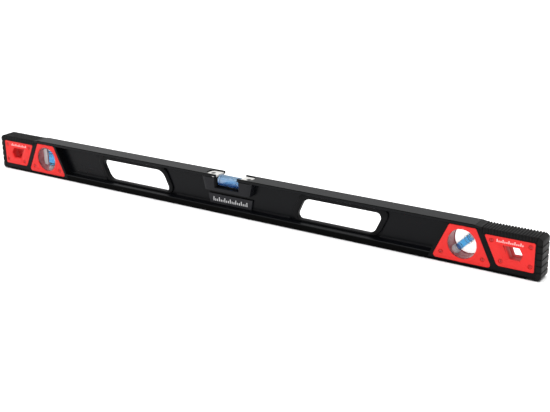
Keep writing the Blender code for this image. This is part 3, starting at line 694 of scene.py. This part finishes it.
PLATE_THICKNESS = 1.9
VIAL_PLATE_SINK = 0.18
VIAL_PLATE_HALF = 31.6
VIAL_PLATE_BOTTOM = 4.6
VIAL_PLATE_TOP = 56.0
HANG_PLATE_END = 9.8
HANG_PLATE_SIDE = 69.7
HANG_PLATE_BOTTOM = 10.4
HANG_PLATE_TOP = 51.3
VIAL_SCREWS = [(80.8, 14.0), (140.8, 14.0)]
HANG_SCREWS = [(69.4, 44.5), (16.0, 44.8), (55.6, 17.6), (15.5, 18.0)]
SCREW_HOLE = 3.25
HANG_HOLE = [(52.0, 40.0), (31.0, 40.0), (26.0, 31.0), (30.0, 21.9), (44.3, 21.9)]
HANG_MOUTH = [(60.8, 40.5), (30.7, 40.5), (25.4, 31.0), (29.4, 20.0), (51.4, 20.0)]
HANG_DEPTHS = [3.0, 0.6, 0.6, 1.4, 3.0]


def vial_plate_outline():
    half_low = VIAL_PLATE_HALF + LEAN * (MID_HEIGHT - VIAL_PLATE_BOTTOM)
    half_high = VIAL_PLATE_HALF - LEAN * (VIAL_PLATE_TOP - MID_HEIGHT)
    corners = [(WINDOW_U - half_low, VIAL_PLATE_BOTTOM), (WINDOW_U + half_low, VIAL_PLATE_BOTTOM),
               (WINDOW_U + half_high, VIAL_PLATE_TOP), (WINDOW_U - half_high, VIAL_PLATE_TOP)]
    return rounded(corners, [4.2, 4.2, 2.5, 2.5])


def hang_plate_outline():
    low = HANG_PLATE_SIDE + LEAN * (HANG_PLATE_BOTTOM - MID_HEIGHT)
    high = HANG_PLATE_SIDE + LEAN * (HANG_PLATE_TOP - MID_HEIGHT)
    corners = [(HANG_PLATE_END, HANG_PLATE_BOTTOM), (low, HANG_PLATE_BOTTOM), (high, HANG_PLATE_TOP),
               (HANG_PLATE_END, HANG_PLATE_TOP)]
    return rounded(corners, [2.0, 6.0, 2.0, 2.0])


def to_x(side, outline):
    return [(end_x(side, u), z) for u, z in outline]


def seat_mesh(x, z, face):
    """A shallow dished seat for a screw, sunk in a plate's round hole."""
    mesh = turned_mesh("screw_seat", [
        (SCREW_HOLE + 0.25, -0.35), (SCREW_HOLE - 0.2, -0.9), (SCREW_HOLE - 0.3, -1.5), (1.2, -1.5),
        (1.2, -1.75), (SCREW_HOLE + 0.25, -1.75),
    ], 32, ring=True)
    place_on_face(mesh, x, z, face)
    return mesh


def place_on_face(mesh, x, z, face, height=PLATE_FACE):
    """Turn a mesh made with its outward axis along +Z to point out of the front or back."""
    turn = Matrix.Rotation(math.radians(-90 * face), 4, "X")
    mesh.transform(Matrix.Translation((x * MM, face * height * MM, z * MM)) @ turn)


def make_vial_plates(mats):
    """Red plates with a round window, a low ring pressed round it and dished screw seats."""
    rim = [(23.1, -0.3), (23.1, 0.02), (23.5, 0.16), (25.6, 0.16), (26.0, 0.02), (26.0, -0.3)]
    seat_face = PLATE_FACE - VIAL_PLATE_SINK
    for label, side in SIDES.items():
        for face_label, face in FACES.items():
            centre = (end_x(side, WINDOW_U), WINDOW_Z)
            outlines = [to_x(side, vial_plate_outline()), circle(centre, WINDOW_RADIUS, 96)]
            outlines += [circle((end_x(side, u), z), SCREW_HOLE, 32) for u, z in VIAL_SCREWS]
            body = plate_mesh("plate_body", outlines, face * seat_face, PLATE_THICKNESS, 0.35)
            ring = turned_mesh("plate_ring", rim, 96, ring=True)
            place_on_face(ring, centre[0], centre[1], face, seat_face)
            seats = [seat_mesh(end_x(side, u), z, face) for u, z in VIAL_SCREWS]
            name = f"vial_plate_{label}_{face_label}"
            mesh = join_meshes(name + "_fine", [body, ring] + seats)
            add_piece(mesh.name, mesh, mats["red"], replaces=[name])


def funnel_mesh(side, face):
    """The hang hole's lining: sloped lead-in, straight walls and the shell behind them."""
    def row(outline, depths):
        return [(end_x(side, u), face * (PLATE_FACE - depth), z) for (u, z), depth in zip(outline, depths)]

    middle = Vector((39.0, 31.0))
    wide = [tuple(Vector(point) + (Vector(point) - middle).normalized() * 1.4) for point in HANG_HOLE]
    outer = [tuple(Vector(point) + (Vector(point) - middle).normalized() * 0.3) for point in HANG_MOUTH]
    end = [PLATE_FACE - 0.15] * 5
    loops = [
        row(HANG_MOUTH, [0.25] * 5),
        row(HANG_HOLE, HANG_DEPTHS),
        row(HANG_HOLE, end),
        row(wide, end),
        row(wide, [depth + 1.4 for depth in HANG_DEPTHS]),
        row(outer, [PLATE_THICKNESS] * 5),
        row(outer, [0.25] * 5),
    ]
    mesh = loft_mesh("hang_funnel", loops, ring=True, angle=20)
    bm = bmesh.new()
    bm.from_mesh(mesh)
    edges = [e for e in bm.edges if e.calc_face_angle(0.0) > math.radians(20)]
    bmesh.ops.bevel(bm, geom=edges, offset=0.25 * MM, segments=2, profile=0.5, affect="EDGES",
                    clamp_overlap=True)
    bm.to_mesh(mesh)
    bm.free()
    return mesh


# walls nearer the middle than this get the hang hole's painted shade
DEEP_WALL = 9.5


def make_hang_plates(mats):
    """Red plates with the five-sided hang hole; its deep walls are a darker red, painted shade."""
    for label, side in SIDES.items():
        for face_label, face in FACES.items():
            outlines = [to_x(side, hang_plate_outline()), to_x(side, HANG_MOUTH)]
            outlines += [circle((end_x(side, u), z), SCREW_HOLE, 32) for u, z in HANG_SCREWS]
            body = plate_mesh("plate_body", outlines, face * PLATE_FACE, PLATE_THICKNESS, 0.3)
            seats = [seat_mesh(end_x(side, u), z, face) for u, z in HANG_SCREWS]
            name = f"hang_plate_{label}_{face_label}"
            mesh = join_meshes(name + "_fine", [body, funnel_mesh(side, face)] + seats)
            add_piece(mesh.name, mesh, mats["red"], replaces=[name])
            mesh.materials.append(mats["red_wall_shade"])
            # painted shade: the walls deep in the hole take the darker red
            for wall in mesh.polygons:
                if abs(wall.center.y) / MM < DEEP_WALL:
                    wall.material_index = 1


def drive_outline(size):
    """The three-pointed recess in a screw's head."""
    points = []
    for i in range(6):
        radius = size if i % 2 == 0 else size * 0.42
        angle = math.radians(90 + 60 * i)
        points.append((radius * math.cos(angle), radius * math.sin(angle)))
    return points


def make_plate_screws(mats):
    """A screw head in every seat, front and back, with a three-pointed recess shown as a dark red star,
    painted shade.
    """
    head = [(0.0, -0.62), (1.3, -0.60), (2.0, -0.66), (2.35, -0.9), (2.4, -1.35), (0.0, -1.35)]
    for label, side in SIDES.items():
        for number, (u, z) in enumerate(VIAL_SCREWS + HANG_SCREWS, start=1):
            for face_label, face in FACES.items():
                x = end_x(side, u)
                name = f"plate_screw_{label}_{number}"
                mesh = turned_mesh(f"{name}_{face_label}_head", head, 32)
                place_on_face(mesh, x, z, face)
                stands_for = [name] if face < 0 else []
                add_piece(mesh.name, mesh, mats["red_paint"], replaces=stands_for)
                # painted shade: the drive recess is a dark red star set into the head
                star = drive_outline(1.25)
                loops = [[(px, py, height) for px, py in star] for height in (-0.58, -0.9)]
                recess = loft_mesh(f"{name}_{face_label}_drive", loops)
                place_on_face(recess, x, z, face)
                add_piece(recess.name, recess, mats["red_drive_shade"])


# ---------------------------------------------------------------- printed marks

INK_THICKNESS = 0.08
INK_LIFT = 0.06


def print_mark(name, outline, y_face, material):
    mesh = plate_mesh(name, [outline], y_face, INK_THICKNESS, 0.01)
    return add_piece(name, mesh, material)


def tick_row(name, x_start, pitch, count, z_foot, size, y_face, material):
    """A plain row of scale ticks, every third one taller."""
    width, short, tall = size
    for i in range(count):
        height = tall if i % 3 == 0 else short
        tick = rectangle(x_start + pitch * i, z_foot + height / 2, width, height, width * 0.2)
        print_mark(f"{name}_{i}", tick, y_face, material)


def make_marks(mats):
    """Plain scale ticks where the real tool is printed."""
    for label, side in SIDES.items():
        for face_label, face in FACES.items():
            tick_row(f"hang_tick_{label}_{face_label}", x_start=end_x(side, 61.5), pitch=side * 2.7,
                     count=14, z_foot=43.6, size=(1.1, 2.3, 4.2),
                     y_face=face * (PLATE_FACE + INK_LIFT), material=mats["pink_ink"])
    for face_label, face in FACES.items():
        tick_row(f"name_tick_{face_label}", x_start=face * 31.5, pitch=-face * 3.5,
                 count=19, z_foot=15.8, size=(1.3, 3.6, 6.6),
                 y_face=face * (NAME_FACE + INK_LIFT), material=mats["ink"])


# ---------------------------------------------------------------- hand grips

HAND_U = 307.5
HAND_HALF = 65.6
HAND_LOW = GRIP_LOW + 2.6
HAND_HIGH = GRIP_HIGH - 8.9
HAND_MID = (HAND_LOW + HAND_HIGH) / 2
GRIP_RIM = 9.4
OBTUSE_RADIUS = 18.0
ACUTE_RADIUS = 7.0
LINING_WALL = 5.3
LINING_SILL = 2.1
LINING_RISE = 0.4


def hand_outline(spread, z_low, z_high, extra_radius):
    corners = leaning(HAND_U, HAND_HALF + spread, z_low, z_high, HAND_MID)
    radii = [OBTUSE_RADIUS, ACUTE_RADIUS, OBTUSE_RADIUS, ACUTE_RADIUS]
    return rounded(corners, [radius + extra_radius for radius in radii], 12)


def grown_hand(grow):
    return hand_outline(grow, HAND_LOW - grow, HAND_HIGH + grow, grow)


def lining_outline():
    """The outside of the lining, which fills the web's hole behind the rim."""
    corners = leaning(HAND_U, HAND_HALF + LINING_WALL, HAND_LOW - LINING_SILL, GRIP_HIGH + LINING_RISE,
                      HAND_MID)
    return rounded(corners, [OBTUSE_RADIUS + 3.0, ACUTE_RADIUS + 3.0, 8.0, 8.0], 12)


def make_grips(mats):
    """Each grip half: a rounded mouth, a raised rim on the web and a lining inside the web's hole."""
    lip = 1.3
    web_face = WEB_HALF + 0.3
    for label, side in SIDES.items():
        for face_label, face in FACES.items():
            rows = [(grown_hand(0.0), 0.15)]
            for angle in range(0, 91, 15):
                turn = math.radians(angle)
                depth = GRIP_FACE - lip + lip * math.sin(turn)
                rows.append((grown_hand(lip * (1 - math.cos(turn))), depth))
            rim = [hand_outline(GRIP_RIM - 1.4, GRIP_LOW + 0.45, GRIP_HIGH - 1.2, 2.6),
                   hand_outline(GRIP_RIM - 0.6, GRIP_LOW + 0.15, GRIP_HIGH - 0.5, 3.4),
                   hand_outline(GRIP_RIM, GRIP_LOW, GRIP_HIGH, 4.0)]
            rows += [(rim[0], GRIP_FACE), (rim[1], GRIP_FACE - 0.3), (rim[2], GRIP_FACE - 1.0),
                     (rim[2], web_face), (lining_outline(), web_face), (lining_outline(), 0.15)]
            loops = [side_points(side, outline, face * y) for outline, y in rows]
            name = f"hand_grip_{label}_{face_label}"
            mesh = loft_mesh(name + "_fine", loops, ring=True)
            add_piece(mesh.name, mesh, mats["plastic"], replaces=[name])


# ---------------------------------------------------------------- windows and end vials

def make_windows(mats):
    """Clear lenses in front and behind, a pale ring between them and the strip at the left."""
    lens = [(0.0, 12.55), (20.2, 12.55), (20.6, 12.4), (20.75, 12.1), (20.75, 10.6), (22.7, 10.6),
            (22.7, 9.4), (0.0, 9.4)]
    for label, side in SIDES.items():
        centre = (end_x(side, WINDOW_U), 0.0, WINDOW_Z)
        for face_label, face in FACES.items():
            name = f"vial_lens_{label}_{face_label}"
            mesh = turned_mesh(name + "_fine", lens, 96)
            mesh.transform(Matrix.Rotation(math.radians(-90 * face), 4, "X"))
            add_piece(mesh.name, mesh, mats["lens"], replaces=[name], location=centre)
        make_ring(label, side, mats)
    make_plumb_strip(mats)


def make_ring(label, side, mats):
    """The pale ring inside a window, open in the middle, with small bevels on its rims."""
    half = RING_HALF
    profile = [(RING_OUTER - 0.2, -half), (RING_OUTER, 0.2 - half), (RING_OUTER, half - 0.2),
               (RING_OUTER - 0.2, half), (21.4, half), (21.1, half - 0.3), (21.1, 0.3 - half),
               (21.4, -half)]
    mesh = turned_mesh(f"vial_ring_{label}_fine", profile, 96, ring=True)
    mesh.transform(Matrix.Rotation(math.radians(90), 4, "X"))
    mesh.transform(Matrix.Translation((end_x(side, WINDOW_U) * MM, 0.0, WINDOW_Z * MM)))
    add_piece(mesh.name, mesh, mats["pale"], replaces=[f"vial_ring_{label}"])


STRIP_OFFSET = -14.2
STRIP_WIDTH = 8.2
STRIP_HEIGHT = 28.0


def make_plumb_strip(mats):
    """The pale upright strip inside the left window, beside the plumb vial."""
    x = end_x(SIDES["left"], WINDOW_U) + STRIP_OFFSET
    strip = rectangle(x, WINDOW_Z, STRIP_WIDTH, STRIP_HEIGHT, 1.0)
    mesh = plate_mesh("plumb_strip", [strip], -0.6, 1.2, 0.3)
    add_piece(mesh.name, mesh, mats["frost"])


def joint_axis(name):
    for joint in frame["joints"]:
        if joint["name"] == name:
            return Vector(joint["axis"]).normalized()
    raise ValueError(name)


def along(direction, centre):
    """A matrix that lays a turned piece's axis along a direction, at a centre in mm."""
    turn = direction.to_track_quat("Z", "Y").to_matrix().to_4x4()
    return Matrix.Translation(Vector(centre) * MM) @ turn


def dome(radius, height, z, steps=6):
    """Profile of a rounded end cap from its rim up to the pole."""
    points = []
    for i in range(steps):
        turn = math.radians(90 * i / steps)
        points.append((radius * math.cos(turn), z + height * math.sin(turn)))
    points.append((0.0, z + height))
    return points


def capsule(radius, half_straight, cap=3.0):
    """Profile of a rod with rounded ends, about its own middle."""
    return list(reversed(dome(radius, -cap, -half_straight))) + dome(radius, cap, half_straight)


def add_turned(name, profile, place, material, segments=48, ring=False, body=BODY, replaces=()):
    mesh = turned_mesh(name, profile, segments, ring)
    mesh.transform(place)
    return add_piece(name, mesh, material, body=body, replaces=replaces)


END_TUBE_RADIUS = 6.2
END_TUBE_FOOT = -15.4
END_TUBE_TOP = 22.0
END_BUBBLE_RADIUS = 4.8


def make_end_vial(name, bubble_body, side, mats):
    """Plumb or angle vial: tube, liquid column, dark ring lines, ribbed plug and bubble."""
    direction = joint_axis(bubble_body + "_slide")
    place = along(direction, (end_x(side, WINDOW_U), 0.0, WINDOW_Z))
    wall = END_TUBE_RADIUS
    low = END_TUBE_FOOT
    high = END_TUBE_TOP
    tube = [(wall, low), (wall, high - 1.2), (wall - 0.4, high - 0.4), (wall - 1.2, high), (0.0, high),
            (0.0, high - 1.2), (wall - 1.4, high - 1.2), (wall - 1.2, high - 2.0), (wall - 1.2, low)]
    add_turned(name + "_tube_fine", tube, place, mats["tube"], ring=True,
               replaces=[name + "_tube"])
    column = [(0.0, low + 2.9), (wall - 1.5, low + 3.0)] + dome(wall - 1.5, 1.2, 19.0)
    add_turned(name + "_fluid_fine", column, place, mats["liquid"],
               replaces=[name + "_fluid"])
    for i, height in enumerate((low + 3.4, 4.6, 9.4)):
        band = [(wall + 0.05, height - 0.45), (wall + 0.18, height - 0.3), (wall + 0.18, height + 0.3),
                (wall + 0.05, height + 0.45)]
        add_turned(f"{name}_band_{i}", band, place, mats["line"], ring=True)
    plug = [(0.0, -22.0), (5.4, -22.0), (6.0, -21.6)]
    for i in range(4):
        top = -21.4 + 1.45 * i
        plug += [(6.2, top), (6.2, top + 0.75), (5.5, top + 0.95), (5.5, top + 1.3)]
    plug += [(6.2, low - 0.35), (4.6, low - 0.3), (4.6, -12.9), (0.0, -12.9)]
    add_turned(name + "_plug_fine", plug, place, mats["plug"],
               replaces=[name + "_plug"])
    middle = middle_mm(name + "_bubble")
    bubble = capsule(END_BUBBLE_RADIUS, 1.9)
    add_turned(name + "_bubble_fine", bubble, along(direction, middle), mats["air"], 32,
               body=bubble_body, replaces=[name + "_bubble"])


def fillet(radius, edge, z, direction, steps=5):
    """Profile of a rounded rim: from the flat end, at height z, round to the full radius."""
    points = []
    for i in range(steps + 1):
        turn = math.radians(90 * i / steps)
        points.append((radius - edge * (1 - math.sin(turn)), z - direction * edge * (1 - math.cos(turn))))
    return points


BARREL_HALF = 20.0
STUB_RADIUS = 6.5
LEVEL_BUBBLE_RADIUS = 3.9
LEVEL_BUBBLE_RISE = 3.6


def make_level_vial(mats):
    """The thick barrel between its stubs; the liquid is as wide as the barrel makes it look."""
    place = along(Vector((1.0, 0.0, 0.0)), (0.0, 0.0, LEVEL_VIAL_Z))
    stub = STUB_RADIUS
    half = BARREL_HALF
    inner = BARREL_RADIUS - 0.5
    tube = [(stub, 25.6), (stub, half)] + fillet(BARREL_RADIUS, 0.9, half, 1)
    tube += list(reversed(fillet(BARREL_RADIUS, 0.9, -half, -1)))
    tube += [(stub, -half), (stub, -29.2), (stub - 0.3, -29.8), (stub - 0.9, -30.0), (0.0, -30.0)]
    tube += [(0.0, -28.6), (stub - 1.2, -28.6), (stub - 1.0, -28.0), (stub - 1.0, 0.6 - half)]
    tube += [(inner, 0.6 - half), (inner, half - 0.6), (stub - 1.0, half - 0.6), (stub - 1.0, 25.6)]
    add_turned("level_vial_tube_fine", tube, place, mats["barrel"], 64, ring=True,
               replaces=["level_vial_tube"])
    column = [(0.0, -28.2), (stub - 1.4, -28.0), (stub - 1.4, 1.0 - half), (inner - 0.6, 1.0 - half),
              (inner - 0.6, half - 1.0), (stub - 1.4, half - 1.0), (stub - 1.4, 23.0), (0.0, 24.2)]
    add_turned("level_vial_fluid_fine", column, place, mats["level_liquid"], 48,
               replaces=["level_vial_fluid"])
    for i, x in enumerate((-15.6, 15.6)):
        band = [(BARREL_RADIUS + 0.02, x - 0.4), (BARREL_RADIUS + 0.12, x - 0.25),
                (BARREL_RADIUS + 0.12, x + 0.25), (BARREL_RADIUS + 0.02, x + 0.4)]
        add_turned(f"level_vial_band_{i}", band, place, mats["line"], 64, ring=True)
    plug = [(0.0, 30.0), (5.6, 30.0), (6.3, 29.5), (6.5, 29.0), (6.5, 26.0), (5.0, 25.9), (5.0, 24.6),
            (0.0, 24.6)]
    add_turned("level_vial_plug_fine", plug, place, mats["plug"],
               replaces=["level_vial_plug"])
    middle = middle_mm("level_vial_bubble")
    bubble_place = along(Vector((1.0, 0.0, 0.0)), (middle.x, middle.y, LEVEL_VIAL_Z + LEVEL_BUBBLE_RISE))
    add_turned("level_vial_bubble_fine", capsule(LEVEL_BUBBLE_RADIUS, 6.2), bubble_place, mats["air"], 32,
               body="level_bubble", replaces=["level_vial_bubble"])


# ---------------------------------------------------------------- small parts

def make_clamp_screws(mats):
    head = [(0.0, -0.6), (1.2, -0.6), (1.3, -0.1), (2.3, 0.05), (3.2, -0.15), (3.6, -0.6), (3.6, -1.0),
            (1.1, -1.0), (1.1, -10.0), (0.0, -11.0)]
    for label in SIDES:
        centre = middle_mm(f"clamp_screw_{label}")
        mesh = turned_mesh(f"clamp_screw_{label}_fine", head, 32)
        add_piece(mesh.name, mesh, mats["steel"], replaces=[f"clamp_screw_{label}"],
                  location=(centre.x, centre.y, CLAMP_TOP - 0.2))


def make_small_trim(mats):
    """The pale tab under the rail's lip beside the notch, on both faces."""
    for face_label, face in FACES.items():
        tab = rectangle(face * 24.5, 58.2, 4.0, 1.2, 0.5)
        mesh = plate_mesh(f"clamp_tab_{face_label}", [tab], face * (HALF_DEPTH + 0.02), 0.6, 0.15)
        add_piece(mesh.name, mesh, mats["cream"])


# ---------------------------------------------------------------- studio

SKY_STRENGTH = 0.93
KEY_POWER = 8.0
TOP_POWER = 110.0
FLOOR_HALF = 9.0


def add_area(name, location, size, power):
    """A rectangular area light that points at the middle of the level."""
    light = bpy.data.lights.new(name, "AREA")
    light.shape = "RECTANGLE"
    light.size = size[0]
    light.size_y = size[1]
    light.energy = power
    obj = bpy.data.objects.new(name, light)
    bpy.context.scene.collection.objects.link(obj)
    obj.location = location
    obj.rotation_euler = (-Vector(location)).to_track_quat("-Z", "Y").to_euler()


def make_studio(mats):
    """Pale floor just under the base, an even white sky and two soft lights."""
    bm = bmesh.new()
    bmesh.ops.create_grid(bm, x_segments=4, y_segments=4, size=FLOOR_HALF)
    mesh = bpy.data.meshes.new("floor")
    bm.to_mesh(mesh)
    bm.free()
    mesh.materials.append(mats["floor"])
    floor = bpy.data.objects.new("floor", mesh)
    floor.location = (0.0, 0.0, -0.0005)
    bpy.context.scene.collection.objects.link(floor)
    world = bpy.data.worlds.new("studio")
    world.use_nodes = True
    background = world.node_tree.nodes["Background"]
    background.inputs["Color"].default_value = (1.0, 1.0, 1.0, 1.0)
    background.inputs["Strength"].default_value = SKY_STRENGTH
    bpy.context.scene.world = world
    bpy.context.scene.view_settings.view_transform = "Standard"
    add_area("key", (-2.2, -0.8, 1.6), (1.6, 1.2), KEY_POWER)
    add_area("top", (0.0, 0.2, 2.6), (3.4, 3.4), TOP_POWER)


CAMERA_LENS = 67.29
CAMERA_PLACE = (0.90451, -1.20429, 0.53380)
CAMERA_RIGHT = (0.82892, 0.55903, -0.01919)
CAMERA_BACK = (0.53319, -0.77930, 0.32922)


def make_camera():
    """The photograph's view: from the right end's front, a little above the level."""
    camera = bpy.data.cameras.new("camera")
    camera.sensor_width = 36.0
    camera.lens = CAMERA_LENS
    camera.clip_end = 50.0
    obj = bpy.data.objects.new("camera", camera)
    bpy.context.scene.collection.objects.link(obj)
    right = Vector(CAMERA_RIGHT).normalized()
    back = Vector(CAMERA_BACK).normalized()
    up = back.cross(right).normalized()
    right = up.cross(back)
    turn = Matrix((right, up, back)).transposed().to_4x4()
    obj.matrix_world = Matrix.Translation(CAMERA_PLACE) @ turn
    bpy.context.scene.camera = obj


def main():
    make_camera()
    mats = make_materials()
    make_studio(mats)
    make_metal_and_cores(mats)
    make_caps(mats)
    make_vial_plates(mats)
    make_hang_plates(mats)
    make_plate_screws(mats)
    make_marks(mats)
    make_grips(mats)
    make_windows(mats)
    make_end_vial("plumb_vial", "plumb_bubble", SIDES["left"], mats)
    make_end_vial("angle_vial", "angle_bubble", SIDES["right"], mats)
    make_level_vial(mats)
    make_clamp_screws(mats)
    make_small_trim(mats)


main()
